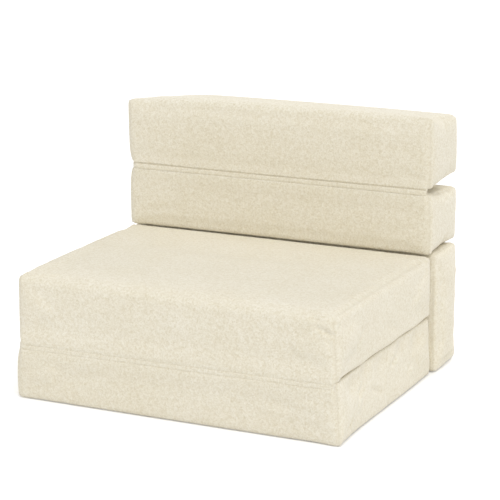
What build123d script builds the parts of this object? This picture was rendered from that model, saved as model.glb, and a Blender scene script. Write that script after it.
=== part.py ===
"""A folding sofa bed of five foam blocks in loose fleece covers, folded up as a seat.

Two slabs lie on each other and open at their front edge. A block stands behind them, and two
bolsters lie on it as the back. Unfolded, the five blocks lie in one line as a single bed.
Millimetres, +Z up, front towards -Y, origin at the middle of the underside of the base slab.
"""
from build123d import *
from math import cos, radians, sin, sqrt, tan
import os

os.makedirs("parts", exist_ok=True)

# Blocks
width = 800.0
thickness = 146.0
slab_depth = 575.0
support_height = 288.0
bolster_depth = 185.0
bolster_tilt = 3.2

# Soft form
corner_radius = 20.0
side_radius = 15.0
fold_radius = 42.0
roll_radius = 48.0
seat_crown = 8.0
seat_edge_drop = 3.0
back_swell = 5.0
top_crown = 7.0
top_edge_drop = 5.0
end_share = 0.25
station_shares = (-0.5, 0.0, 0.5)
swell_shares = (0.0, 1.0, 0.0)

# Covers and fits
cover_wall = 4.0
foam_clearance = 0.3
stack_gap = 0.3
sweep_clearance = 0.6
overhang = 10.0
pivot_offset = 10.0
panel_margin = 8.0
panel_radius = 14.0

# Fabric hinges
strip_wall = 4.0
strip_clearance = 0.3
strip_lap = 6.0
strip_end_inset = 24.0
hinge_band = 12.0
gusset_height = 40.0
gusset_inset = 6.0

# Zips
zip_opening = 24.0
zip_end_inset = 70.0
zip_tape_wall = 1.4
zip_chain_wall = 1.4
zip_chain_width = 6.0
slider_length = 14.0
slider_width = 10.0
pull_wall = 0.8
pull_length = 26.0
pull_width = 7.0


def sweep_gap(span):
    """Room that a block needs to roll round the middle of a square of this span."""
    arm = span / 2 - fold_radius
    reach = sqrt(2 * arm**2 + 2 * pivot_offset**2) + fold_radius
    return reach - span / 2 - pivot_offset + sweep_clearance


# Places that follow from the sizes
front_y = -slab_depth / 2
rear_y = slab_depth / 2
seat_bottom_z = thickness + stack_gap
support_front_y = rear_y + sweep_gap(thickness)
bolster_front_y = rear_y - overhang
bolster_square = bolster_front_y + bolster_depth - support_front_y
lower_bottom_z = support_height + sweep_gap(bolster_square)
lower_top_z = lower_bottom_z + thickness
strip_reach = strip_wall + strip_clearance
bolster_lift = bolster_depth / 2 * tan(radians(bolster_tilt))
meeting_crown = (hinge_band + bolster_lift - stack_gap) / 2

# Joint axes, each along X: (y, z)
seat_axis = (front_y - strip_reach, thickness + stack_gap / 2)
back_axis = (support_front_y + thickness / 2 + pivot_offset, thickness / 2 - pivot_offset)
lower_axis = (support_front_y + bolster_square / 2 + pivot_offset,
              lower_bottom_z + bolster_square / 2 + pivot_offset)
upper_axis = (bolster_front_y - strip_reach, lower_top_z + hinge_band / 2)


def side_plane(y, z, tilt=0.0):
    """Plane that looks along X: its x is depth to the rear and its y is height."""
    slope = radians(tilt)
    return Plane(origin=(0, y, z), x_dir=(0, cos(slope), sin(slope)), z_dir=(1, 0, 0))


upper_hinge = side_plane(*upper_axis, bolster_tilt)
upper_corner = upper_hinge.from_local_coords(Vector(strip_reach, hinge_band / 2, 0))


class Block:
    """One block: its place, sizes, corner radii and how far its underside, rear and top swell.

    The radii go round from the front bottom corner: front bottom, rear bottom, rear top, front top.
    """

    def __init__(self, name, place, depth, height, radii, swells):
        self.name = name
        self.place = place
        self.depth = depth
        self.height = height
        self.radii = radii
        self.swells = swells


round_corners = (corner_radius, corner_radius, corner_radius, corner_radius)
support_corners = (fold_radius, corner_radius, corner_radius, corner_radius)
lower_corners = (corner_radius, roll_radius, corner_radius, corner_radius)

base = Block("base", side_plane(front_y, 0), slab_depth, thickness, round_corners, (0, 0, 0))
seat = Block("seat", side_plane(front_y, seat_bottom_z), slab_depth, thickness - seat_edge_drop,
             round_corners, (0, 0, seat_crown))
support = Block("rear_support", side_plane(support_front_y, 0), thickness, support_height,
                support_corners, (0, 0, 0))
lower = Block("lower_bolster", side_plane(bolster_front_y, lower_bottom_z), bolster_depth,
              thickness, lower_corners, (0, back_swell, meeting_crown))
upper = Block("upper_bolster", side_plane(upper_corner.Y, upper_corner.Z, bolster_tilt),
              bolster_depth, thickness - top_edge_drop, round_corners,
              (meeting_crown, back_swell, top_crown))
blocks = (base, seat, support, lower, upper)


def bulge(start, end, sagitta):
    """A side of the outline: an arc that stands out by its sagitta, or a line where it is zero."""
    if sagitta > 0:
        return SagittaArc(start, end, -sagitta)
    return Line(start, end)


def cushion(block, inset, rounded_ends=True):
    """The crowned form of a block, drawn in all round by the inset."""
    with BuildPart() as form:
        for share, swell_share in zip(station_shares, swell_shares):
            growth = end_share + (1 - end_share) * swell_share
            under_swell, rear_swell, top_swell = [swell * growth for swell in block.swells]
            low, deep, high = inset, block.depth - inset, block.height - inset
            corners = ((low, low), (deep, low), (deep, high), (low, high))
            with BuildSketch(block.place.offset(share * (width - 2 * inset))) as section:
                with BuildLine():
                    bulge(corners[0], corners[1], under_swell)
                    bulge(corners[1], corners[2], rear_swell)
                    bulge(corners[2], corners[3], top_swell)
                    Line(corners[3], corners[0])
                make_face()
                for corner, radius in zip(corners, block.radii):
                    nearest = section.vertices().sort_by_distance((*corner, 0))[0]
                    fillet(nearest, radius=radius - inset)
        loft()
        if rounded_ends:
            ends = form.faces().sort_by(Axis.X)
            fillet(ends[0].edges() + ends[-1].edges(), radius=side_radius - inset)
    return form.part


def bar(block, length, depths, heights, middle=0.0):
    """A straight bar along X in a block's side plane, between two depths and two heights."""
    size = (depths[1] - depths[0], heights[1] - heights[0])
    centre = (sum(depths) / 2, sum(heights) / 2)
    with BuildPart() as solid:
        with BuildSketch(block.place.offset(middle - length / 2)):
            with Locations(centre):
                Rectangle(*size)
        extrude(amount=length)
    return solid.part


def floor_panel(block):
    """A panel as thick as the cover, let into the flat part of a block's underside."""
    front_margin, rear_margin = block.radii[0] + panel_margin, block.radii[1] + panel_margin
    panel_depth = block.depth - front_margin - rear_margin
    with BuildPart() as panel:
        with BuildSketch():
            with Locations((0, block.place.origin.Y + front_margin + panel_depth / 2)):
                Rectangle(width - 2 * (side_radius + panel_margin), panel_depth)
            fillet(vertices(), radius=panel_radius)
        extrude(amount=cover_wall)
    return panel.part


def rear_depths(block):
    """Depths from the middle of a block to beyond its rear."""
    return block.depth / 2, block.depth + back_swell


def rear_band(block, height):
    """Heights of a band of this height along the middle of a block's rear."""
    return (block.height - height) / 2, (block.height + height) / 2


def zip_pull(block, chain_face):
    """The pull of a zip, which lies flat on the chain beside its slider."""
    with BuildPart() as pull:
        add(cushion(block, chain_inset - pull_wall, rounded_ends=False))
        add(chain_face, mode=Mode.SUBTRACT)
        add(bar(block, pull_length, rear_depths(block), rear_band(block, pull_width), pull_x),
            mode=Mode.INTERSECT)
    return pull.part


def save(builder, node):
    """Label a finished piece and write its file."""
    builder.part.label = node
    export_step(builder.part, f"parts/{node}.step")


floor_panels = {block: floor_panel(block) for block in (base, support)}
zip_length = width - 2 * zip_end_inset
zip_depth_inset = cover_wall - zip_tape_wall
chain_inset = zip_depth_inset - zip_chain_wall
chain_length = zip_length - slider_length
slider_x = (zip_length - slider_length) / 2
pull_x = slider_x - pull_length / 2

for block in blocks:
    outside = cushion(block, 0)
    lining = cushion(block, cover_wall)
    tape_face = cushion(block, zip_depth_inset, rounded_ends=False)
    chain_face = cushion(block, chain_inset, rounded_ends=False)
    rear = rear_depths(block)

    # Fleece cover: a shell with a long zip opening at the rear
    with BuildPart() as cover:
        add(outside)
        add(lining, mode=Mode.SUBTRACT)
        add(bar(block, zip_length, rear, rear_band(block, zip_opening)), mode=Mode.SUBTRACT)
        if block in floor_panels:
            add(floor_panels[block], mode=Mode.SUBTRACT)
    save(cover, f"{block.name}_cover")

    # Foam block that fills the cover
    with BuildPart() as foam:
        add(cushion(block, cover_wall + foam_clearance))
    save(foam, f"{block.name}_foam")

    # Zip: tape in the opening, the chain of teeth on it, and the slider with its pull at one end
    with BuildPart() as tape:
        add(tape_face)
        add(lining, mode=Mode.SUBTRACT)
        add(bar(block, zip_length, rear, rear_band(block, zip_opening)), mode=Mode.INTERSECT)
    save(tape, f"{block.name}_zip_tape")

    with BuildPart() as chain:
        add(chain_face)
        add(tape_face, mode=Mode.SUBTRACT)
        add(bar(block, chain_length, rear, rear_band(block, zip_chain_width), -slider_length / 2),
            mode=Mode.INTERSECT)
    save(chain, f"{block.name}_zip_chain")

    with BuildPart() as slider:
        add(chain_face)
        add(tape_face, mode=Mode.SUBTRACT)
        add(bar(block, slider_length, rear, rear_band(block, slider_width), slider_x),
            mode=Mode.INTERSECT)
        add(zip_pull(block, chain_face))
    save(slider, f"{block.name}_zip_slider")

# Non-slip panels that close the undersides of the two blocks that stand on the floor
for block, panel_form in floor_panels.items():
    with BuildPart() as panel:
        add(panel_form)
    save(panel, f"{block.name}_nonslip_panel")

# Fabric hinges at the front: one strip across each joint, in two halves that meet at the axis
strip_length = width - 2 * strip_end_inset
strip_depths = (-strip_wall, 0)
sewn_height = corner_radius + strip_lap
hinge_halves = {
    "front_hinge_lower_strip": (base, (thickness - sewn_height, thickness)),
    "front_hinge_upper_strip": (seat, (0, sewn_height)),
    "back_hinge_lower_strip": (lower, (thickness - sewn_height, thickness + hinge_band / 2 - stack_gap)),
    "back_hinge_upper_strip": (upper, (-hinge_band / 2 + stack_gap, sewn_height)),
}
for node, (block, heights) in hinge_halves.items():
    with BuildPart() as strip:
        add(bar(block, strip_length, strip_depths, heights))
    save(strip, node)

# Folded gussets: slack fabric that joins the base to the rear support, and the support to its bolster
with BuildPart() as base_gusset:
    add(bar(base, strip_length, (slab_depth / 2, support_front_y - front_y - stack_gap),
            (thickness - stack_gap - gusset_height, thickness - stack_gap)))
    add(cushion(base, 0), mode=Mode.SUBTRACT)
save(base_gusset, "base_gusset")

with BuildPart() as support_gusset:
    add(bar(support, strip_length, (gusset_inset, gusset_inset + gusset_height),
            (support_height / 2, lower_bottom_z - stack_gap)))
    add(cushion(support, 0), mode=Mode.SUBTRACT)
save(support_gusset, "rear_support_gusset")

print("seat axis", seat_axis)
print("back axis", back_axis)
print("lower axis", lower_axis)
print("upper axis", upper_axis)
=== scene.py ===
"""Looks of a folding sofa bed: five foam cushions in cream teddy fleece, folded up as a seat.

The frame gives the sizes and the joints. This script puts soft, sewn pieces in the place of the CAD
solids: cushions, hinge strips with their stitches, folded gussets, zips and dotted undersides.
Metres, +Z up, front towards -Y.
"""
from math import cos, pi, radians, sin

import bmesh
import bpy
import numpy as np
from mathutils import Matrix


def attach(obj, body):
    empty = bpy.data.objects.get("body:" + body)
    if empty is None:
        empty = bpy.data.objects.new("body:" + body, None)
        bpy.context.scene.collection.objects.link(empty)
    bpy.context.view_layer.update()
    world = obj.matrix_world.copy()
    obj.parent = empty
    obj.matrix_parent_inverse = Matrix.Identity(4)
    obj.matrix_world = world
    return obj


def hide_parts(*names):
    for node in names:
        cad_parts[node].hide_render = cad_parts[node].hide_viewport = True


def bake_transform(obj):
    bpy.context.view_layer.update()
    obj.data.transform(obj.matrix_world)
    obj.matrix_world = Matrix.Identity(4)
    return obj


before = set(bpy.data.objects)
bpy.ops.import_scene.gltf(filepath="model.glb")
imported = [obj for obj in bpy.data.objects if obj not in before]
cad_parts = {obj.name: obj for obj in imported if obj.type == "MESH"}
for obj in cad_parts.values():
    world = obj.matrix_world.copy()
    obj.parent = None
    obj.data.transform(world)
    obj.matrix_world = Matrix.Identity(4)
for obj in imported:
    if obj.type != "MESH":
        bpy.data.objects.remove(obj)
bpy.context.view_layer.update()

scene = bpy.context.scene
scene.view_settings.view_transform = "Standard"
MM = 0.001
WIDTH = 0.800
END = WIDTH / 2


# Materials

# The point attribute that carries the painted shade of the sewn seams
SEAM_ATTRIBUTE = "seam_shade"
WAVES_PER_METRE = 3.14  # of a wave texture at scale 1

def linear(code):
    """An sRGB hex colour as linear RGBA."""
    channels = [int(code[i:i + 2], 16) / 255 for i in (0, 2, 4)]
    return [c / 12.92 if c <= 0.04045 else ((c + 0.055) / 1.055) ** 2.4 for c in channels] + [1.0]


def add_node(tree, kind, inputs=None, **settings):
    """Add a node, with its settings, and with a value or a link for each named input."""
    node = tree.nodes.new(kind)
    for key, value in settings.items():
        setattr(node, key, value)
    for key, value in (inputs or {}).items():
        if isinstance(value, bpy.types.NodeSocket):
            tree.links.new(value, node.inputs[key])
        else:
            node.inputs[key].default_value = value
    return node


def new_material(name):
    """A material with nothing in it but its output, and the place on the object to read."""
    material = bpy.data.materials.new(name)
    material.use_nodes = True
    tree = material.node_tree
    tree.nodes.clear()
    place = add_node(tree, "ShaderNodeTexCoord").outputs["Object"]
    return material, tree, place


def finish_material(tree, shader):
    """Link a shader to the surface."""
    add_node(tree, "ShaderNodeOutputMaterial", {"Surface": shader.outputs[0]})


def teddy_fleece():
    """Polyester teddy fleece, knitted and tumbled: matt curls in tufts, with painted shade between
    them.

    The curls are about 3 mm (scale 330) and the tufts about 6 mm (scale 165). A line of painted
    shade lies in each sewn seam, where the piece's own attribute marks it.
    """
    material, tree, place = new_material("cream_teddy_fleece")
    curls = add_node(tree, "ShaderNodeTexNoise", {
        "Vector": place, "Scale": 330.0, "Detail": 3.0, "Roughness": 0.6, "Distortion": 1.4})
    tufts = add_node(tree, "ShaderNodeTexNoise", {
        "Vector": place, "Scale": 165.0, "Detail": 2.0, "Roughness": 0.6, "Distortion": 0.8})
    lay = add_node(tree, "ShaderNodeTexNoise", {"Vector": place, "Scale": 7.0, "Detail": 2.0})
    tones = []
    # Curls and tufts darken the colour where their bump is low: partly painted shade in the pile's
    # hollows, partly the fleece's own random tone
    for noise, low, high, dark, light in ((curls, 0.30, 0.62, "E2DAC6", "F3EEDF"),
                                          (tufts, 0.32, 0.62, "F3F0E8", "FFFFFF"),
                                          (lay, 0.30, 0.70, "FCFBF8", "FFFFFF")):
        tone = add_node(tree, "ShaderNodeValToRGB", {"Fac": noise.outputs["Fac"]})
        for stop, position, code in zip(tone.color_ramp.elements, (low, high), (dark, light)):
            stop.position = position
            stop.color = linear(code)
        tones.append(tone.outputs["Color"])
    curl_tone, tuft_tone, lay_tone = tones
    pile_shade_and_tone = add_node(tree, "ShaderNodeMixRGB", {
        "Fac": 1.0, "Color1": curl_tone, "Color2": tuft_tone}, blend_type="MULTIPLY")
    brushed = add_node(tree, "ShaderNodeMixRGB", {
        "Fac": 1.0, "Color1": pile_shade_and_tone.outputs["Color"], "Color2": lay_tone}, blend_type="MULTIPLY")
    # Painted shade in the sewn seams: a darker cream mixed in where the seam attribute is high
    seam = add_node(tree, "ShaderNodeAttribute", attribute_name=SEAM_ATTRIBUTE)
    painted_seam_shade = add_node(tree, "ShaderNodeMixRGB", {
        "Fac": seam.outputs["Fac"], "Color1": brushed.outputs["Color"], "Color2": linear("D3C9B2")})
    tuft_bump = add_node(tree, "ShaderNodeBump", {
        "Strength": 0.5, "Distance": 1.6 * MM, "Height": tufts.outputs["Fac"]})
    curl_bump = add_node(tree, "ShaderNodeBump", {
        "Strength": 0.6, "Distance": 1.0 * MM, "Height": curls.outputs["Fac"],
        "Normal": tuft_bump.outputs["Normal"]})
    shader = add_node(tree, "ShaderNodeBsdfPrincipled", {
        "Base Color": painted_seam_shade.outputs["Color"], "Roughness": 0.95, "Specular IOR Level": 0.15,
        "Sheen Weight": 0.25, "Sheen Roughness": 0.6, "Normal": curl_bump.outputs["Normal"]})
    finish_material(tree, shader)
    return material


def woven_tape(name, light, dark, thread):
    """Woven polyester: a close plain weave of this thread spacing, matt, with a faint rib."""
    material, tree, place = new_material(name)
    scale = 1 / thread / WAVES_PER_METRE
    warp, weft = [add_node(tree, "ShaderNodeTexWave", {
        "Vector": place, "Scale": scale, "Distortion": 0.4}, bands_direction=way) for way in "XZ"]
    weave = add_node(tree, "ShaderNodeMath", {0: warp.outputs["Fac"], 1: weft.outputs["Fac"]},
                     operation="MULTIPLY")
    tone = add_node(tree, "ShaderNodeMixRGB", {
        "Fac": weave.outputs["Value"], "Color1": linear(dark), "Color2": linear(light)})
    bump = add_node(tree, "ShaderNodeBump", {
        "Strength": 0.4, "Distance": 0.3 * MM, "Height": weave.outputs["Value"]})
    shader = add_node(tree, "ShaderNodeBsdfPrincipled", {
        "Base Color": tone.outputs["Color"], "Roughness": 0.8, "Sheen Weight": 0.15,
        "Normal": bump.outputs["Normal"]})
    finish_material(tree, shader)
    return material


def polyester_thread():
    """Spun polyester sewing thread: a fine twist with a soft shine."""
    material, tree, place = new_material("cream_polyester_thread")
    twist = add_node(tree, "ShaderNodeTexWave", {
        "Vector": place, "Scale": 900.0, "Distortion": 1.0}, bands_direction="DIAGONAL")
    tone = add_node(tree, "ShaderNodeMixRGB", {
        "Fac": twist.outputs["Fac"], "Color1": linear("CFC4AC"), "Color2": linear("E6DDC8")})
    shader = add_node(tree, "ShaderNodeBsdfPrincipled", {
        "Base Color": tone.outputs["Color"], "Roughness": 0.55, "Sheen Weight": 0.2})
    finish_material(tree, shader)
    return material


def nylon_coil():
    """Nylon zip coil, extruded and set in a spiral: smooth, slightly waxy."""
    material, tree, place = new_material("cream_nylon_coil")
    wear = add_node(tree, "ShaderNodeTexNoise", {"Vector": place, "Scale": 60.0, "Detail": 2.0})
    tone = add_node(tree, "ShaderNodeMixRGB", {
        "Fac": wear.outputs["Fac"], "Color1": linear("CBC2AE"), "Color2": linear("E0D8C5")})
    shader = add_node(tree, "ShaderNodeBsdfPrincipled", {
        "Base Color": tone.outputs["Color"], "Roughness": 0.35, "IOR": 1.53})
    finish_material(tree, shader)
    return material


def enamelled_zinc():
    """Die-cast zinc slider with satin enamel: smooth, worn a little darker in patches."""
    material, tree, place = new_material("cream_enamelled_zinc")
    wear = add_node(tree, "ShaderNodeTexNoise", {"Vector": place, "Scale": 240.0, "Detail": 3.0})
    tone = add_node(tree, "ShaderNodeValToRGB", {"Fac": wear.outputs["Fac"]})
    tone.color_ramp.elements[0].position = 0.34
    tone.color_ramp.elements[0].color = linear("B9B2A2")
    tone.color_ramp.elements[1].position = 0.48
    tone.color_ramp.elements[1].color = linear("DDD5C2")
    shader = add_node(tree, "ShaderNodeBsdfPrincipled", {
        "Base Color": tone.outputs["Color"], "Roughness": 0.3, "Coat Weight": 0.3})
    finish_material(tree, shader)
    return material


def rubber_dots():
    """Printed silicone rubber dots: soft, slightly glossy grip points."""
    material, tree, place = new_material("ivory_rubber_dots")
    dust = add_node(tree, "ShaderNodeTexNoise", {"Vector": place, "Scale": 90.0, "Detail": 2.0})
    tone = add_node(tree, "ShaderNodeMixRGB", {
        "Fac": dust.outputs["Fac"], "Color1": linear("C9C3B4"), "Color2": linear("DAD5C8")})
    shader = add_node(tree, "ShaderNodeBsdfPrincipled", {
        "Base Color": tone.outputs["Color"], "Roughness": 0.5, "IOR": 1.42})
    finish_material(tree, shader)
    return material


fleece = teddy_fleece()
thread = polyester_thread()
zip_tape = woven_tape("cream_woven_zip_tape", "E2DAC8", "C8BEA8", 0.9 * MM)
underside_weave = woven_tape("cream_woven_lining", "DCD6C6", "BDB5A3", 1.4 * MM)
coil = nylon_coil()
enamel = enamelled_zinc()
rubber = rubber_dots()


# Mesh tools

def mesh_object(name, points, faces, material, smooth=True):
    """An object at the origin from points and faces, with one material."""
    mesh = bpy.data.meshes.new(name)
    mesh.from_pydata(np.asarray(points, float).tolist(), [], [list(map(int, f)) for f in faces])
    mesh.materials.append(material)
    mesh.polygons.foreach_set("use_smooth", [smooth] * len(mesh.polygons))
    mesh.update()
    piece = bpy.data.objects.new(name, mesh)
    scene.collection.objects.link(piece)
    return piece


def read_points(mesh):
    """The places of a mesh's points, one row each."""
    points = np.empty(len(mesh.vertices) * 3)
    mesh.vertices.foreach_get("co", points)
    return points.reshape(-1, 3)


def read_normals(mesh):
    """The outward directions at a mesh's points."""
    normals = np.empty(len(mesh.vertices) * 3)
    mesh.vertex_normals.foreach_get("vector", normals)
    return normals.reshape(-1, 3)


def write_points(mesh, points):
    """Move a mesh's points to these places."""
    mesh.vertices.foreach_set("co", np.asarray(points, float).ravel())
    mesh.update()


def joined(name, first, second, material):
    """One object in place of two, with one material."""
    points = np.concatenate([read_points(first.data), read_points(second.data)])
    shift = len(first.data.vertices)
    faces = [tuple(face.vertices) for face in first.data.polygons]
    faces += [tuple(i + shift for i in face.vertices) for face in second.data.polygons]
    bpy.data.objects.remove(first)
    bpy.data.objects.remove(second)
    return mesh_object(name, points, faces, material)


def settle(piece):
    """Turn a piece with its modifiers into a plain mesh, and take the modifiers off."""
    bpy.context.view_layer.update()
    evaluated = piece.evaluated_get(bpy.context.evaluated_depsgraph_get())
    plain = bpy.data.meshes.new_from_object(evaluated)
    piece.modifiers.clear()
    piece.data = plain
    return piece


def smoothstep(value, low, high):
    """From 0 at low to 1 at high, with a soft start and end. Low may be the greater of the two."""
    share = np.clip((value - low) / (high - low), 0, 1)
    return share * share * (3 - 2 * share)


def rounded_square(angle, roundness):
    """Across and up on a ring that is a circle at roundness 1 and squarer below it."""
    return [np.sign(part) * abs(part) ** roundness for part in (cos(angle), sin(angle))]


def box_grid(counts):
    """Points, from 0 to 1 on each axis, and outward quads of the six gridded faces of a box."""
    quads = []
    for axis in range(3):
        across, along = (axis + 1) % 3, (axis + 2) % 3
        u, v = np.meshgrid(np.arange(counts[across]), np.arange(counts[along]), indexing="ij")
        for side in (0, 1):
            ring = ((0, 0), (1, 0), (1, 1), (0, 1)) if side else ((0, 0), (0, 1), (1, 1), (1, 0))
            corners = []
            for du, dv in ring:
                corner = np.zeros(u.shape + (3,), int)
                corner[..., axis] = counts[axis] * side
                corner[..., across] = u + du
                corner[..., along] = v + dv
                corners.append(corner.reshape(-1, 3))
            quads.append(np.stack(corners, axis=1))
    quads = np.concatenate(quads)
    points, faces = np.unique(quads.reshape(-1, 3), axis=0, return_inverse=True)
    return points / np.array(counts, float), faces.reshape(-1, 4)


def sweep(name, loops, material):
    """A closed piece through a row of closed loops of points, with its two ends filled."""
    loops = np.asarray(loops, float)
    stations, count = loops.shape[:2]
    faces = []
    for station in range(stations - 1):
        for i in range(count):
            j = (i + 1) % count
            a, b = station * count, (station + 1) * count
            faces.append((a + i, b + i, b + j, a + j))
    faces.append(tuple(range(count)))
    faces.append(tuple(reversed(range((stations - 1) * count, stations * count))))
    piece = mesh_object(name, loops.reshape(-1, 3), faces, material)
    shell = bmesh.new()
    shell.from_mesh(piece.data)
    bmesh.ops.recalc_face_normals(shell, faces=shell.faces)
    shell.to_mesh(piece.data)
    shell.free()
    return piece


# Geometry Nodes

def socket_identifier(tree, name):
    """The identifier of a tree's named input, by which a modifier's value is set."""
    return next(item.identifier for item in tree.interface.items_tree
                if item.item_type == "SOCKET" and item.in_out == "INPUT" and item.name == name)


def new_nodes_tree(name, inputs):
    """A geometry tree with these named float inputs besides its geometry."""
    tree = bpy.data.node_groups.new(name, "GeometryNodeTree")
    tree.interface.new_socket("Geometry", in_out="INPUT", socket_type="NodeSocketGeometry")
    for label in inputs:
        tree.interface.new_socket(label, in_out="INPUT", socket_type="NodeSocketFloat")
    tree.interface.new_socket("Geometry", in_out="OUTPUT", socket_type="NodeSocketGeometry")
    return tree, add_node(tree, "NodeGroupInput")


def end_nodes_tree(tree, geometry, material):
    """Every tree ends in Realize Instances and Set Material."""
    real = add_node(tree, "GeometryNodeRealizeInstances", {"Geometry": geometry})
    dressed = add_node(tree, "GeometryNodeSetMaterial", {
        "Geometry": real.outputs["Geometry"], "Material": material})
    add_node(tree, "NodeGroupOutput", {"Geometry": dressed.outputs["Geometry"]})


def run_nodes(piece, tree, **values):
    """Run a tree on a piece with its inputs set, and keep the plain mesh that comes out."""
    modifier = piece.modifiers.new(tree.name, "NODES")
    modifier.node_group = tree
    for label, value in values.items():
        modifier[socket_identifier(tree, label.capitalize())] = value
    return settle(piece)


def pile_tree():
    """Raises the fleece's tufts along the surface, so that its outline is soft as well."""
    tree, given = new_nodes_tree("teddy_pile", ("Height", "Grain"))
    normal = add_node(tree, "GeometryNodeInputNormal")
    place = add_node(tree, "GeometryNodeInputPosition")
    grain = add_node(tree, "ShaderNodeMath", {0: 1.0, 1: given.outputs["Grain"]},
                     operation="DIVIDE")
    noise = add_node(tree, "ShaderNodeTexNoise", {
        "Vector": place.outputs["Position"], "Scale": grain.outputs["Value"], "Detail": 2.0,
        "Roughness": 0.6, "Distortion": 0.8})
    middle = add_node(tree, "ShaderNodeMath", {0: noise.outputs["Fac"], 1: 0.5},
                      operation="SUBTRACT")
    rise = add_node(tree, "ShaderNodeMath", {
        0: middle.outputs["Value"], 1: given.outputs["Height"]}, operation="MULTIPLY")
    offset = add_node(tree, "ShaderNodeVectorMath", {
        0: normal.outputs["Normal"], "Scale": rise.outputs["Value"]}, operation="SCALE")
    moved = add_node(tree, "GeometryNodeSetPosition", {
        "Geometry": given.outputs["Geometry"], "Offset": offset.outputs["Vector"]})
    end_nodes_tree(tree, moved.outputs["Geometry"], fleece)
    return tree


def row_tree(name, material):
    """Sets one short thread or tooth at each even step along a line, turned to follow it."""
    tree, given = new_nodes_tree(name, ("Pitch", "Length", "Radius", "Lean"))
    curve = add_node(tree, "GeometryNodeMeshToCurve", {"Mesh": given.outputs["Geometry"]})
    steps = add_node(tree, "GeometryNodeResampleCurve", {
        "Curve": curve.outputs["Curve"], "Length": given.outputs["Pitch"]}, mode="LENGTH")
    tangent = add_node(tree, "GeometryNodeInputTangent")
    turn = add_node(tree, "FunctionNodeAlignEulerToVector", {"Vector": tangent.outputs["Tangent"]},
                    axis="Z")
    lean = add_node(tree, "ShaderNodeCombineXYZ", {"Y": given.outputs["Lean"]})
    leaning = add_node(tree, "FunctionNodeRotateEuler", {
        "Rotation": turn.outputs["Rotation"], "Rotate By": lean.outputs["Vector"]},
        rotation_type="EULER", space="LOCAL")
    body = add_node(tree, "GeometryNodeMeshUVSphere", {"Segments": 6, "Rings": 6, "Radius": 1.0})
    shape = add_node(tree, "ShaderNodeCombineXYZ", {
        "X": given.outputs["Radius"], "Y": given.outputs["Radius"], "Z": given.outputs["Length"]})
    stretched = add_node(tree, "GeometryNodeTransform", {
        "Geometry": body.outputs["Mesh"], "Scale": shape.outputs["Vector"]})
    smooth = add_node(tree, "GeometryNodeSetShadeSmooth", {
        "Geometry": stretched.outputs["Geometry"]})
    row = add_node(tree, "GeometryNodeInstanceOnPoints", {
        "Points": steps.outputs["Curve"], "Instance": smooth.outputs["Geometry"],
        "Rotation": leaning.outputs["Rotation"]})
    end_nodes_tree(tree, row.outputs["Instances"], material)
    return tree


def line_object(name, points):
    """A mesh of edges only, for a tree to follow."""
    mesh = bpy.data.meshes.new(name)
    mesh.from_pydata([tuple(p) for p in points], [(i, i + 1) for i in range(len(points) - 1)], [])
    piece = bpy.data.objects.new(name, mesh)
    scene.collection.objects.link(piece)
    return piece


PILE_GRAIN = 7 * MM
fleece_pile = pile_tree()
stitch_row = row_tree("lockstitch_row", thread)
teeth_row = row_tree("coil_teeth_row", coil)


# The five cushions

class Block:
    """Place, sizes and soft form of one block.

    Local axes: x across, y to the rear, z up, from its middle. The corner is its front bottom edge
    in the frame (y, z). Millimetres and degrees come in, and metres and radians are kept.
    Radii go round from the front bottom corner: front bottom, rear bottom, rear top, front top.
    Swells are how far the faces stand out: front, rear, under, top, side.
    """

    def __init__(self, name, corner, depth, height, tilt, radii, swells):
        self.name = name
        self.corner = np.array((0, corner[0], corner[1])) * MM
        self.size = np.array((WIDTH, depth * MM, height * MM))
        self.tilt = radians(tilt)
        self.radii = np.array(radii) * MM
        self.swells = dict(zip(("front", "rear", "under", "top", "side"), np.array(swells) * MM))

    def to_world(self, local):
        """Points of the block's own axes, in the frame."""
        y = local[:, 1] + self.size[1] / 2
        z = local[:, 2] + self.size[2] / 2
        return np.stack((local[:, 0],
                         self.corner[1] + y * cos(self.tilt) - z * sin(self.tilt),
                         self.corner[2] + y * sin(self.tilt) + z * cos(self.tilt)), axis=1)

    def to_local(self, world):
        """Points of the frame, in the block's own axes."""
        y = world[:, 1] - self.corner[1]
        z = world[:, 2] - self.corner[2]
        return np.stack((world[:, 0],
                         y * cos(self.tilt) + z * sin(self.tilt) - self.size[1] / 2,
                         -y * sin(self.tilt) + z * cos(self.tilt) - self.size[2] / 2), axis=1)


BLOCKS = {block.name: block for block in (
    Block("base", (-287.5, 0), 575, 146, 0, (6, 12, 7, 10), (3.5, 2, 0, 0, 5)),
    Block("seat", (-287.5, 146.3), 575, 143, 0, (6, 7, 12, 10), (3.5, 2, 0, 8, 4)),
    Block("rear_support", (293.17, 0), 146, 288, 0, (8, 14, 8, 8), (0, 0, 0, 0, 5)),
    Block("lower_bolster", (277.5, 297.91), 185, 146, 0, (6, 13, 10, 6), (2, 5, 0, 8.4, 4)),
    Block("upper_bolster", (277.16, 456.14), 185, 141, 3.2, (6, 14, 12, 6), (3, 5, 8.4, 7, 4)),
)}

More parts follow.
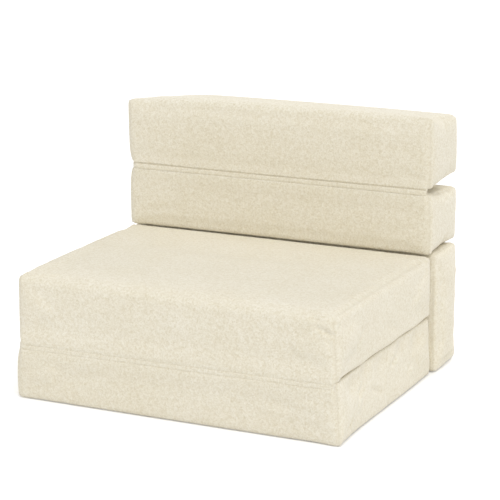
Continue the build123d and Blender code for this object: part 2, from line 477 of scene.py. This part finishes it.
# Room past a block's size that its filled cover may take, on each face, and what differs by block
ROOM = {"front": 3.6 * MM, "rear": 3.0 * MM, "under": 0, "top": 0, "side": 11 * MM}
ROOM_OF_BLOCK = {
    "base": {},
    "seat": {"top": 4 * MM},
    "rear_support": {"front": 0, "rear": 1 * MM, "side": 14 * MM},
    "lower_bolster": {"rear": 7 * MM, "front": 1 * MM},
    "upper_bolster": {"rear": 7 * MM, "top": 1 * MM},
}
SIDE_RADIUS = 9 * MM
GRID_PITCH = 7.5 * MM
FILL_REACH = 9 * MM    # the furthest that the filling moves a point
FILL_STEPS = 20
EDGE_GIVE = 1.6 * MM   # the furthest that it pulls a point inwards, as the seams hold the edges
START_INSET = 1 * MM   # how much smaller a cover is before it is filled
SEAM_INSET = 5 * MM    # from an end to the seam of its end panel
SEAM_WIDTH = 3 * MM
SEAM_DEPTH = 1.8 * MM
SEAM_SHADE = 0.32      # how far the painted shade covers the fleece's colour in a seam's middle
CUSHION_PILE = 1.3 * MM
ROW_REACH = 6 * MM     # from the middle of a stitched band to each of its two rows
BACK_HEM = 449.9 * MM  # height of the middle of the band on the back


def rounded_block(block):
    """A gridded box with rounded edges: its points in the block's own axes, its faces, and each
    point's place on the box from 0 to 1."""
    counts = [max(4, int(round(side / GRID_PITCH))) for side in block.size]
    place, faces = box_grid(counts)
    half = block.size / 2
    points = (place - 0.5) * block.size
    front, low = points[:, 1] < 0, points[:, 2] < 0
    front_bottom, rear_bottom, rear_top, front_top = block.radii
    radius = np.where(front, np.where(low, front_bottom, front_top),
                      np.where(low, rear_bottom, rear_top))
    inner = np.stack((np.full(len(points), half[0] - SIDE_RADIUS), half[1] - radius,
                      half[2] - radius), axis=1)
    core = np.clip(points, -inner, inner)
    away = points - core
    away[:, 0] *= radius / SIDE_RADIUS
    away *= (radius / np.maximum(np.linalg.norm(away, axis=1), 1e-9))[:, None]
    away[:, 0] *= SIDE_RADIUS / radius
    return core + away, faces, place


def fullness(u, v):
    """How much of its swell a face has: none at its edges and all in its middle."""
    return np.clip(1 - u * u, 0, 1) ** 0.6 * np.clip(1 - v * v, 0, 1) ** 0.6


def crowned(points, block):
    """Let the faces stand out by their swells."""
    x, y, z = (points / (block.size / 2)).T
    out = points.copy()
    out[:, 2] += block.swells["top"] * fullness(x, y) * np.clip(z, 0, 1) ** 2
    out[:, 2] -= block.swells["under"] * fullness(x, y) * np.clip(-z, 0, 1) ** 2
    out[:, 1] += block.swells["rear"] * fullness(x, z) * np.clip(y, 0, 1) ** 2
    out[:, 1] -= block.swells["front"] * fullness(x, z) * np.clip(-y, 0, 1) ** 2
    out[:, 0] += block.swells["side"] * fullness(y, z) * np.sign(x) * np.abs(x) ** 8
    return out


def inflate(piece):
    """Fill the cover by cloth simulation, as far as its reach allows."""
    start = read_points(piece.data)
    normals = read_normals(piece.data)
    cloth = piece.modifiers.new("filling", "CLOTH")
    cloth.settings.quality = 4
    cloth.settings.mass = 0.25
    cloth.settings.tension_stiffness = 12
    cloth.settings.compression_stiffness = 12
    cloth.settings.shear_stiffness = 4
    cloth.settings.bending_stiffness = 0.4
    cloth.settings.shrink_min = -0.025
    cloth.settings.use_pressure = True
    cloth.settings.uniform_pressure_force = 4
    cloth.settings.effector_weights.gravity = 0
    cloth.collision_settings.use_collision = False
    cloth.collision_settings.use_self_collision = False
    cloth.point_cache.frame_start = 1
    cloth.point_cache.frame_end = FILL_STEPS
    for step in range(1, FILL_STEPS + 1):
        scene.frame_set(step)
    evaluated = piece.evaluated_get(bpy.context.evaluated_depsgraph_get())
    moved = read_points(evaluated.to_mesh()) - start
    evaluated.to_mesh_clear()
    piece.modifiers.clear()
    scene.frame_set(1)
    reach = np.linalg.norm(moved, axis=1, keepdims=True)
    moved *= FILL_REACH * np.tanh(reach / FILL_REACH) / np.maximum(reach, 1e-9)
    inward = np.minimum((moved * normals).sum(axis=1, keepdims=True), 0)
    moved += normals * (EDGE_GIVE * np.tanh(inward / EDGE_GIVE) - inward)
    write_points(piece.data, start + moved)


def push(points, centre, reach, move):
    """Move the points round a place, less with distance. Reach may differ by axis."""
    away = (points - np.array(centre)) / np.array(reach)
    points += np.exp(-(away ** 2).sum(axis=1))[:, None] * np.array(move)


def crease(points, normals, start, end, width, depth):
    """Press a fold line into the surface, with a soft ridge on either side of it."""
    start, end = np.array(start), np.array(end)
    line = end - start
    share = np.clip(((points - start) @ line) / (line @ line), 0, 1)
    away = np.linalg.norm(points - start - share[:, None] * line, axis=1) / width
    fade = np.sin(pi * np.clip(share * 0.9 + 0.05, 0, 1)) ** 0.7
    profile = (1 - 1.2 * away ** 2) * np.exp(-away ** 2)
    points -= normals * (depth * fade * profile)[:, None]


def hem_height(x):
    """Height of the middle of the stitched band at the front: it droops, most at the left."""
    return (127.5 + 6.5 * (x / WIDTH + 0.5)) * MM


def meet_band(points, place, edge, side, face):
    """Bring a front face out flush with the stitched band, and turn its edge in behind it.

    The edge is the height of the seam at each point, side is 1 for the block above the band and -1
    for the one under it, and face is the depth of the finished front.
    """
    on_front = smoothstep(place[:, 1], 5 * MM, 1 * MM)
    on_front *= smoothstep(np.abs(points[:, 0]), 0.398, 0.388)
    above = (points[:, 2] - edge) * side
    near = smoothstep(above, 50 * MM, 10 * MM) * on_front
    target = face + 2.6 * MM * smoothstep(above, 1.5 * MM, -2.0 * MM)
    points[:, 1] += (target - points[:, 1]) * near


def crease_rows(points, normals, rows):
    """Press in several creases: each row is a start, an end, and a width and depth in mm."""
    for start, end, width, depth in rows:
        crease(points, normals, start, end, width * MM, depth * MM)


def side_creases(points, normals, x, width, depth, rows):
    """Slanting creases in the right side: each row is its middle (y, z), its run and its rise."""
    for y, z, run, rise in rows:
        crease(points, normals, (x, y - run / 2, z - rise / 2), (x, y + run / 2, z + rise / 2),
               width, depth)


def spread_rear(points):
    """Let the right side of a slab stand out towards the rear, and draw its rear edge in below."""
    right = smoothstep(points[:, 0], 0.36, END)
    points[:, 0] += 8 * MM * right * smoothstep(points[:, 1], -0.20, 0.25)
    low = smoothstep(points[:, 2], 0.26, 0.10)
    points[:, 1] -= (2 + 6 * low) * MM * right * smoothstep(points[:, 1], 0.25, 0.285)


def pinch_ends(points, seam, cheek):
    """Pinch a bolster in at both ends, at the height of its seam, and let its cheeks (y, z) out."""
    for side in (-1, 1):
        push(points, (side * END, 0.28, seam), (0.022, 0.05, 0.022), (-side * 3 * MM, 2 * MM, 0))
        push(points, (side * END, *cheek), (0.03, 0.08, 0.05), (side * 1 * MM, 0, 0))


def shape_base(points, normals, place):
    """The lower slab: its right side is loose and puckered, and its front meets the band."""
    push(points, (END, -0.270, 0.070), (0.03, 0.09, 0.07), (4 * MM, -1 * MM, 0))
    push(points, (0.405, -0.290, 0.000), (0.04, 0.05, 0.04), (3 * MM, -3 * MM, 0))
    spread_rear(points)
    low = smoothstep(points[:, 2], 0.09, 0.01)
    points[:, 0] += 6 * MM * low * smoothstep(points[:, 0], 0.36, END)
    left = smoothstep(-points[:, 0], 0.36, END)
    points[:, 0] -= 8 * MM * smoothstep(points[:, 2], 0.14, 0.08) * left
    points[:, 1] -= 1.5 * MM * low * smoothstep(-points[:, 1], 0.25, 0.285)
    side_creases(points, normals, 0.405, 11 * MM, 5.6 * MM, (
        (-0.16, 0.085, 0.06, 0.035), (-0.06, 0.062, 0.07, -0.030), (0.05, 0.105, 0.05, 0.022),
        (0.14, 0.060, 0.06, 0.028), (-0.23, 0.040, 0.03, 0.030)))
    # Dents under the edge of the seat: middle (y, z) and half length
    for y, z, length in ((-0.19, 0.118, 0.035), (-0.12, 0.126, 0.025), (-0.02, 0.122, 0.040),
                         (0.10, 0.124, 0.030), (0.19, 0.118, 0.030)):
        push(points, (0.405, y, z), (0.030, length, 0.020), (-11 * MM, 0, 0))
    meet_band(points, place, hem_height(points[:, 0]) - ROW_REACH, -1, -0.2916)
    crease_rows(points, normals, (
        ((-0.30, -0.291, 0.050), (-0.18, -0.291, 0.085), 16, 1.6),
        ((0.22, -0.291, 0.085), (0.37, -0.291, 0.060), 16, 2.0)))
    points[:, 2] = np.maximum(points[:, 2], 0.8 * MM)


def shape_seat(points, normals, place):
    """The seat slab: higher at left and rear, pulled in at the front right, drooping in front."""
    lift = 6 * MM * (0.5 - points[:, 0] / WIDTH) - 1 * MM
    points[:, 2] += lift * smoothstep(points[:, 2], 0.16, 0.29)
    push(points, (END, -0.287, 0.285), (0.05, 0.06, 0.05), (-7 * MM, 4 * MM, -3 * MM))
    spread_rear(points)
    crease_rows(points, normals, (
        ((0.340, -0.290, 0.270), (0.398, -0.286, 0.244), 8, 7.5),
        ((0.330, -0.289, 0.284), (0.402, -0.262, 0.264), 7, 5.5),
        ((0.372, -0.291, 0.255), (0.392, -0.290, 0.200), 8, 2.4)))
    side_creases(points, normals, 0.403, 12 * MM, 2.6 * MM, (
        (-0.15, 0.215, 0.07, 0.030), (0.02, 0.190, 0.08, -0.028), (0.17, 0.225, 0.06, 0.020)))
    # At the right, the lower edge hangs over the base in waves
    overlap = smoothstep(points[:, 0], 0.380, 0.398) * smoothstep(points[:, 2], 0.190, 0.150)
    points[:, 2] -= (2.5 + 1.5 * np.sin(points[:, 1] * 37 + 1)) * MM * overlap
    points[:, 0] += 2.5 * MM * overlap
    # The left and rear edges of the top stand up, under a ceiling that clears the back
    high = smoothstep(points[:, 2], 0.23, 0.285)
    along = smoothstep(points[:, 1], -0.28, -0.20) * smoothstep(points[:, 1], 0.26, 0.18)
    points[:, 2] += 5 * MM * high * along * smoothstep(-points[:, 0], 0.33, 0.395)
    points[:, 2] += 6.5 * MM * high * smoothstep(points[:, 1], 0.22, 0.28)
    ceiling = (0.3060 - 0.0085 * smoothstep(points[:, 1], -0.02, 0.10)
               - 0.0030 * smoothstep(points[:, 1], 0.20, 0.27))
    points[:, 2] = np.minimum(points[:, 2], ceiling)
    # The lower front edge droops to the band
    lip = smoothstep(place[:, 2], 60 * MM, 0) * smoothstep(place[:, 1], 30 * MM, 4 * MM)
    inside = smoothstep(np.abs(points[:, 0]), 0.402, 0.385)
    drop = 0.1490 - (hem_height(points[:, 0]) + 4 * MM)
    points[:, 2] -= drop * lip * inside
    meet_band(points, place, hem_height(points[:, 0]) + ROW_REACH, 1, -0.2919)


def shape_rear_support(points, normals, place):
    """The rear block: its loose cover hangs out at the right, with a hem-like fold and creases."""
    loose = smoothstep(points[:, 0], 0.30, 0.39)
    points[:, 0] += loose * (12 + 6 * smoothstep(points[:, 2], 0.30, 0.22)) * MM
    points[:, 1] += 5 * MM * loose * smoothstep(points[:, 1], 0.36, 0.43)
    points[:, 2] += 8 * MM * smoothstep(points[:, 2], 0.25, 0.285)
    crease_rows(points, normals, (
        ((0.427, 0.290, 0.026), (0.428, 0.440, 0.024), 7, 5.0),
        ((0.429, 0.418, 0.080), (0.424, 0.410, 0.260), 7, 4.0),
        ((0.415, 0.372, 0.120), (0.415, 0.385, 0.270), 8, 2.0),
        ((0.415, 0.330, 0.060), (0.415, 0.350, 0.160), 9, 2.0)))


def shape_lower_bolster(points, normals, place):
    """The lower half of the back: its top falls at the right end, and its ends are pinched in."""
    end = smoothstep(points[:, 0], 0.16, 0.32)
    to_rear = np.clip((points[:, 1] - 0.285) / 0.165, 0, 1)
    fall = (4 + 8 * to_rear) * MM * end * smoothstep(to_rear, 0, 0.25)
    points[:, 2] -= fall * smoothstep(points[:, 2], 0.40, 0.44)
    front = smoothstep(points[:, 1], 0.32, 0.28)
    points[:, 2] -= 3 * MM * smoothstep(points[:, 2], 0.34, 0.30) * front
    pinch_ends(points, 0.444, (0.37, 0.360))
    meet_band(points, place, BACK_HEM - ROW_REACH, -1, 0.2732)
    crease_rows(points, normals, (
        ((0.30, 0.273, 0.340), (0.385, 0.274, 0.372), 14, 2.0),
        ((-0.37, 0.274, 0.335), (-0.28, 0.273, 0.350), 14, 1.8),
        ((0.403, 0.33, 0.335), (0.403, 0.42, 0.350), 10, 2.2)))


def shape_upper_bolster(points, normals, place):
    """The upper half of the back: its front stands higher, so that its top falls to the rear."""
    high = smoothstep(points[:, 2], 0.50, 0.60)
    to_rear = np.clip((points[:, 1] - 0.2775) / 0.185, 0, 1)
    left = smoothstep(-points[:, 0], 0.24, 0.39)
    points[:, 2] += (31 - 30 * to_rear - left * (10 + 1 * to_rear)) * MM * high
    pinch_ends(points, 0.458, (0.36, 0.525))
    meet_band(points, place, BACK_HEM + ROW_REACH, 1, 0.2730)
    crease_rows(points, normals, (
        ((0.31, 0.270, 0.500), (0.385, 0.272, 0.480), 14, 1.8),
        ((0.403, 0.33, 0.530), (0.403, 0.43, 0.515), 11, 2.2)))


SHAPES = {"base": shape_base, "seat": shape_seat, "rear_support": shape_rear_support,
          "lower_bolster": shape_lower_bolster, "upper_bolster": shape_upper_bolster}
ZIP_END = 0.330
ZIP_BAND = 12 * MM
ZIP_BOW = {"lower_bolster": 5 * MM, "upper_bolster": 5 * MM}


def end_seams(place, block):
    """How much each point lies in the seam that joins an end panel to the rest of the cover."""
    from_end = block.size[0] / 2 - np.abs(place[:, 0] - block.size[0] / 2)
    return np.exp(-((from_end - SEAM_INSET) / SEAM_WIDTH) ** 2)


def zip_swell(x, block):
    """How far the CAD's rear stands out at mid-height, at this place across."""
    return ZIP_BOW.get(block.name, 0) * (0.25 + 0.75 * (1 - np.abs(x / END) ** 2))


def zip_channel(local, block):
    """Open the rear of the cover where the zip lies, just deeper than the tape."""
    rear = block.size[1] / 2
    on_rear = smoothstep(local[:, 1], rear - 16 * MM, rear - 8 * MM)
    in_band = smoothstep(np.abs(local[:, 2]), ZIP_BAND + 2 * MM, ZIP_BAND - 1 * MM)
    in_span = smoothstep(np.abs(local[:, 0]), ZIP_END + 3 * MM, ZIP_END - 1 * MM)
    out = local.copy()
    channel = rear + zip_swell(local[:, 0], block) - 5.5 * MM
    share = on_rear * in_band * in_span
    out[:, 1] = local[:, 1] * (1 - share) + np.minimum(channel, local[:, 1]) * share
    return out


def keep_in_place(local, block):
    """Hold each face inside its room: flat where it rests, and clear of its neighbours."""
    half = block.size / 2
    x, y, _ = (local / half).T
    room = ROOM | ROOM_OF_BLOCK[block.name]
    out = local.copy()
    top = half[2] + block.swells["top"] * fullness(x, y) + room["top"]
    under = -half[2] - block.swells["under"] * fullness(x, y) - room["under"]
    out[:, 2] = np.clip(out[:, 2], under, top)
    out[:, 1] = np.clip(out[:, 1], -half[1] - room["front"], half[1] + room["rear"])
    out[:, 0] = np.clip(out[:, 0], -half[0] - room["side"], half[0] + room["side"])
    return out


def make_cushion(block):
    """One block: rounded and crowned, filled, kept to its room, sculpted, and given its pile."""
    local, faces, place = rounded_block(block)
    half = block.size / 2
    local = crowned(local * (half - START_INSET) / half, block)
    piece = mesh_object(f"{block.name}_cushion", block.to_world(local), faces, fleece)
    grid = piece.data.attributes.new("panel_grid", "FLOAT_VECTOR", "POINT")
    grid.data.foreach_set("vector", place.astype(np.float32).ravel())
    inflate(piece)
    local = keep_in_place(block.to_local(read_points(piece.data)), block)
    write_points(piece.data, block.to_world(local))
    finer = piece.modifiers.new("finer", "SUBSURF")
    finer.levels = finer.render_levels = 1
    settle(piece)
    points = read_points(piece.data)
    grid = piece.data.attributes["panel_grid"]
    place = np.empty(len(points) * 3, np.float32)
    grid.data.foreach_get("vector", place)
    place = place.reshape(-1, 3) * block.size
    piece.data.attributes.remove(grid)
    SHAPES[block.name](points, read_normals(piece.data), place)
    write_points(piece.data, points)
    seam = end_seams(place, block)
    # Painted shade along the end seams, read by the fleece's colour; the seams are also pressed in
    # below
    shade = piece.data.attributes.new(SEAM_ATTRIBUTE, "FLOAT", "POINT")
    shade.data.foreach_set("value", (SEAM_SHADE * seam).astype(np.float32))
    points -= read_normals(piece.data) * (SEAM_DEPTH * seam)[:, None]
    write_points(piece.data, block.to_world(zip_channel(block.to_local(points), block)))
    run_nodes(piece, fleece_pile, height=CUSHION_PILE, grain=PILE_GRAIN)
    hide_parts(f"{block.name}_cover", f"{block.name}_foam")
    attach(piece, block.name)


for block in BLOCKS.values():
    make_cushion(block)


# Hinge strips, each sewn on with two rows of lockstitch

STRIP_END = 0.394
STRIP_REACH = 9 * MM   # from the middle of a strip to its edges
STRIP_PILE = 0.8 * MM
STITCH_END = 0.380
FRONT_DEPTH = -291.4 * MM
BACK_DEPTH = 273.3 * MM


def back_hem_height(x):
    """Height of the middle of the stitched band on the back, the same all along."""
    return BACK_HEM


def strip_loops(middle, depth):
    """Loops along X of a soft strip: its outside, pressed in at two rows, and its flat inside."""
    loops = []
    steps = int(2 * STRIP_END / (5 * MM))
    for x in np.linspace(-STRIP_END, STRIP_END, steps + 1):
        loop = []
        turned_end = 5 * MM * smoothstep(abs(x), 0.383, STRIP_END)
        for share in np.linspace(-1, 1, 25):
            height = share * STRIP_REACH
            press = 1.0 * MM * sum(np.exp(-((height - row) / (1.9 * MM)) ** 2)
                                   for row in (-ROW_REACH, ROW_REACH))
            edge = 2.6 * MM * smoothstep(abs(share), 0.66, 1.0) + turned_end
            loop.append((x, depth + press + edge, middle(x) + height))
        for share in np.linspace(1, -1, 9):
            loop.append((x, depth + 4.5 * MM, middle(x) + share * STRIP_REACH))
        loops.append(loop)
    return np.array(loops)


def stitch_rows(name, middle, depth):
    """Two rows of stitches in the grooves of a strip."""
    rows = []
    for row in (-ROW_REACH, ROW_REACH):
        path = [(x, depth + 1.0 * MM, middle(x) + row)
                for x in np.linspace(-STITCH_END, STITCH_END, 97)]
        line = line_object(f"{name}_row", path)
        rows.append(run_nodes(line, stitch_row, pitch=5 * MM, length=1.9 * MM,
                              radius=0.55 * MM, lean=0.12))
    return joined(name, *rows, thread)


def hinge_strip(name, middle, depth, nodes):
    """A strip and its stitches, between the two blocks that they join."""
    strip = sweep(name, strip_loops(middle, depth), fleece)
    run_nodes(strip, fleece_pile, height=STRIP_PILE, grain=PILE_GRAIN)
    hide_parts(*nodes)
    stitches = stitch_rows(f"{name}_stitches", middle, depth)
    for piece in (strip, stitches):
        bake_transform(piece)


hinge_strip("front_hinge_strip", hem_height, FRONT_DEPTH,
            ("front_hinge_lower_strip", "front_hinge_upper_strip"))
hinge_strip("back_hinge_strip", back_hem_height, BACK_DEPTH,
            ("back_hinge_lower_strip", "back_hinge_upper_strip"))


# Folded gussets: slack fabric tucked into the two rear joints

GUSSET_END = 0.374


def gusset(name, centre, run, rise, body, node):
    """Fabric folded to and fro between two depths, swept along X with a slight wander."""
    loops = []
    for x in np.linspace(-GUSSET_END, GUSSET_END, 151):
        wander = 0.8 * MM * sin(x * 31) + 0.5 * MM * sin(x * 83 + 1)
        loop = []
        for angle in np.linspace(0, 2 * pi, 64, endpoint=False):
            fold = 1 - 0.14 * cos(3 * angle + wander * 600)
            across, up = rounded_square(angle, 0.55)
            loop.append((x, centre[0] + across * fold * run / 2,
                         centre[1] + up * rise / 2 + wander * 0.5))
        loops.append(loop)
    piece = sweep(name, loops, fleece)
    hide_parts(node)
    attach(piece, body)


gusset("base_gusset_fold", (290.3 * MM, 126 * MM), 4.6 * MM, 38 * MM, "base", "base_gusset")
gusset("rear_support_gusset_fold", (320 * MM, 292.4 * MM), 36 * MM, 6.6 * MM, "rear_support",
       "rear_support_gusset")


# Zips

LIP_END = ZIP_END + 0.002
TAPE_END = 0.329
TEETH_SPAN = (-0.322, 0.308)
SLIDER_MIDDLE = 315    # mm across
PULL_MIDDLE = 301


def zip_place(x, block, depth):
    """Depth to the rear, in a block's own axes, of a point this far inside its rear."""
    return block.size[1] / 2 + zip_swell(x, block) - depth


def zip_line(block, span, rise, depth):
    """Points along the zip of a block, at a rise from its middle and a depth inside its rear."""
    xs = np.linspace(*span, 67)
    local = np.stack((xs, zip_place(xs, block, depth), np.full(len(xs), rise)), axis=1)
    return block.to_world(local)


def ribbon(name, block, span, rises, depths, material):
    """A thin band along the zip: an outline of rises and depths, swept along it."""
    outline = [zip_line(block, span, rise, depth) for rise, depth in zip(rises, depths)]
    return sweep(name, np.stack(outline, axis=1), material)


def zip_edges(name, block):
    """The two folded fleece edges beside the tape."""
    made = []
    for side, label in ((-1, "lower"), (1, "upper")):
        angles = np.linspace(0, 2 * pi, 12, endpoint=False)
        rises = [side * (12.2 + 3.0 * cos(angle)) * MM for angle in angles]
        depths = [(2.2 - 2.6 * sin(angle)) * MM for angle in angles]
        made.append(ribbon(f"{name}_{label}", block, (-LIP_END, LIP_END), rises, depths, fleece))
    return made


def zip_teeth(name, row_name, block):
    """Two rows of coil teeth that lean towards each other."""
    rows = []
    for side in (-1, 1):
        line = line_object(f"{row_name}_{side}",
                           zip_line(block, TEETH_SPAN, side * 1.2 * MM, 1.9 * MM))
        rows.append(run_nodes(line, teeth_row, pitch=2.0 * MM, length=2.1 * MM,
                              radius=0.62 * MM, lean=side * 1.15))
    return joined(name, *rows, coil)


def slider_with_pull(name, block):
    """A wedge body over the coil and a flat pull with a hole, lying along the zip."""
    half_outline = [(308, 3.2), (311, 5.0), (318, 5.0), (321, 4.0), (322, 0)]
    outline = half_outline + [(x, -z) for x, z in reversed(half_outline[:-1])]
    loops = []
    for depth, grow in ((2.4, 1.0), (1.2, 1.0), (0.6, 0.92), (0.3, 0.7)):
        local = np.array([((SLIDER_MIDDLE + (x - SLIDER_MIDDLE) * grow) * MM,
                           zip_place(x * MM, block, depth * MM), z * grow * MM)
                          for x, z in outline])
        loops.append(block.to_world(local))
    body = sweep(name, loops, enamel)
    # The pull is a ring: each loop goes once round its wire
    rings = []
    for angle in np.linspace(0, 2 * pi, 25):
        local = []
        for turn in np.linspace(0, 2 * pi, 8, endpoint=False):
            reach = 1 + 0.34 * cos(turn)
            x = PULL_MIDDLE + 11.5 * reach * cos(angle) * (1.0 if cos(angle) < 0 else 0.85)
            depth = 0.15 - 0.42 * sin(turn)
            local.append((x * MM, zip_place(x * MM, block, depth * MM),
                          2.9 * reach * sin(angle) * MM))
        rings.append(block.to_world(np.array(local)))
    pull = sweep(f"{name}_pull", rings, enamel)
    return joined(name, body, pull, enamel)


def zip_of(block):
    """Tape, coil teeth, slider with its pull, and the fleece edges at both sides."""
    tape = ribbon(f"{block.name}_zip_tape_woven", block, (-TAPE_END, TAPE_END),
                  [r * MM for r in (-12, -7, -2, 2, 7, 12, 12, -12)],
                  [d * MM for d in (2.9, 2.7, 2.6, 2.6, 2.7, 2.9, 4.0, 4.0)], zip_tape)
    teeth = zip_teeth(f"{block.name}_zip_teeth", f"{block.name}_teeth", block)
    slider = slider_with_pull(f"{block.name}_zip_slider_and_pull", block)
    for piece, node, slot in ((tape, "zip_tape", "zip_tape"), (teeth, "zip_chain", "zip_coil"),
                              (slider, "zip_slider", "zip_slider")):
        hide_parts(f"{block.name}_{node}")
        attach(piece, block.name)
    for piece in zip_edges(f"{block.name}_zip_edge", block):
        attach(piece, block.name)


for block in BLOCKS.values():
    zip_of(block)


# Undersides

DOT_PITCH = 18 * MM
DOT_RADIUS = 2.2 * MM
LINING_FACE = 0.65 * MM


def dot_tree():
    """A flat rubber dot at each point of a mesh."""
    tree, given = new_nodes_tree("grip_dots", ("Radius",))
    points = add_node(tree, "GeometryNodeMeshToPoints", {"Mesh": given.outputs["Geometry"]})
    dot = add_node(tree, "GeometryNodeMeshUVSphere", {"Segments": 8, "Rings": 6, "Radius": 1.0})
    height = add_node(tree, "ShaderNodeMath", {0: given.outputs["Radius"], 1: 0.28},
                      operation="MULTIPLY")
    shape = add_node(tree, "ShaderNodeCombineXYZ", {
        "X": given.outputs["Radius"], "Y": given.outputs["Radius"], "Z": height.outputs["Value"]})
    flat = add_node(tree, "GeometryNodeTransform", {
        "Geometry": dot.outputs["Mesh"], "Scale": shape.outputs["Vector"]})
    dots = add_node(tree, "GeometryNodeInstanceOnPoints", {
        "Points": points.outputs["Points"], "Instance": flat.outputs["Geometry"]})
    end_nodes_tree(tree, dots.outputs["Instances"], rubber)
    return tree


grip_dots = dot_tree()


def underside(body, middle, half_x, half_y):
    """The woven lining let into the underside of a block that stands on the floor, and its dots."""
    loops = []
    for grow, z in ((1.0, 3.6), (1.0, 1.4), (0.997, 0.8), (0.99, 0.6)):
        loop = []
        for angle in np.linspace(0, 2 * pi, 96, endpoint=False):
            across, along = rounded_square(angle, 0.16)
            loop.append((half_x * across * grow, middle + half_y * along * grow, z * MM))
        loops.append(loop)
    lining = sweep(f"{body}_underside_lining", loops, underside_weave)
    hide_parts(f"{body}_nonslip_panel")
    columns = np.arange(-half_x + 0.014, half_x - 0.012, DOT_PITCH)
    rows = np.arange(-half_y + 0.012, half_y - 0.010, DOT_PITCH)
    mesh = bpy.data.meshes.new("dot_places")
    mesh.from_pydata([(x, middle + y, LINING_FACE) for x in columns for y in rows], [], [])
    dots = bpy.data.objects.new(f"{body}_underside_grip_dots", mesh)
    scene.collection.objects.link(dots)
    run_nodes(dots, grip_dots, radius=DOT_RADIUS)
    for piece in (lining, dots):
        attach(piece, body)


underside("base", 0, 0.376, 0.2585)
underside("rear_support", 0.3692, 0.376, 0.0335)


# Studio

FLOOR_HALF = 40.0
FLOOR_GLOW = 0.16      # what the paper lacks to read as white where no shadow falls
ROOM_LIGHT = 0.70


def studio_floor():
    """A white floor that keeps the object's shadow and reads as white to the camera."""
    material, tree, _ = new_material("white_studio_floor")
    ray = add_node(tree, "ShaderNodeLightPath")
    seen = add_node(tree, "ShaderNodeMath", {
        0: ray.outputs["Is Camera Ray"], 1: ray.outputs["Is Glossy Ray"]}, operation="MAXIMUM")
    through = add_node(tree, "ShaderNodeMath", {
        0: seen.outputs["Value"], 1: ray.outputs["Is Transmission Ray"]}, operation="MAXIMUM")
    glow = add_node(tree, "ShaderNodeMath", {0: through.outputs["Value"], 1: FLOOR_GLOW},
                    operation="MULTIPLY")
    paper = add_node(tree, "ShaderNodeBsdfDiffuse", {"Color": linear("F8F8F8")})
    light = add_node(tree, "ShaderNodeEmission", {
        "Color": linear("FFFFFF"), "Strength": glow.outputs["Value"]})
    both = add_node(tree, "ShaderNodeAddShader", {0: paper.outputs[0], 1: light.outputs[0]})
    finish_material(tree, both)
    corners = [(x * FLOOR_HALF, y * FLOOR_HALF, 0) for x, y in ((-1, -1), (1, -1), (1, 1), (-1, 1))]
    floor = mesh_object("studio_floor", corners, [(0, 1, 2, 3)], material, smooth=False)


def studio_light():
    """Even light from a pale room, a soft lamp from the camera's right, and one from behind."""
    world = bpy.data.worlds.new("pale_room")
    world.use_nodes = True
    tree = world.node_tree
    tree.nodes.clear()
    ray = add_node(tree, "ShaderNodeLightPath")
    fill = add_node(tree, "ShaderNodeBackground", {
        "Color": linear("FFFFFF"), "Strength": ROOM_LIGHT})
    white = add_node(tree, "ShaderNodeBackground", {"Color": linear("FFFFFF"), "Strength": 1.0})
    mixed = add_node(tree, "ShaderNodeMixShader", {
        0: ray.outputs["Is Camera Ray"], 1: fill.outputs[0], 2: white.outputs[0]})
    add_node(tree, "ShaderNodeOutputWorld", {"Surface": mixed.outputs[0]})
    scene.world = world
    # Name, energy, softness, tilt from straight down and turn, in degrees
    for name, energy, softness, tilt, turn in (("soft_key", 1.2, 50, 32, 42),
                                               ("rim_light", 0.7, 15, -60, 0)):
        lamp = bpy.data.lights.new(name, "SUN")
        lamp.energy = energy
        lamp.angle = radians(softness)
        sun = bpy.data.objects.new(name, lamp)
        sun.rotation_euler = (radians(tilt), 0, radians(turn))
        scene.collection.objects.link(sun)


def photo_camera():
    """The photograph's view, from the front right and a little above, as fitted to the blocks."""
    lens = bpy.data.cameras.new("photo_camera")
    lens.sensor_width = 36
    lens.lens = 137.79
    lens.clip_end = 200
    camera = bpy.data.objects.new("photo_camera", lens)
    camera.location = (1.8705, -3.9162, 1.4278)
    camera.rotation_euler = (radians(90 - 14.166), 0, radians(24.812))
    scene.collection.objects.link(camera)
    scene.camera = camera


studio_floor()
studio_light()
photo_camera()
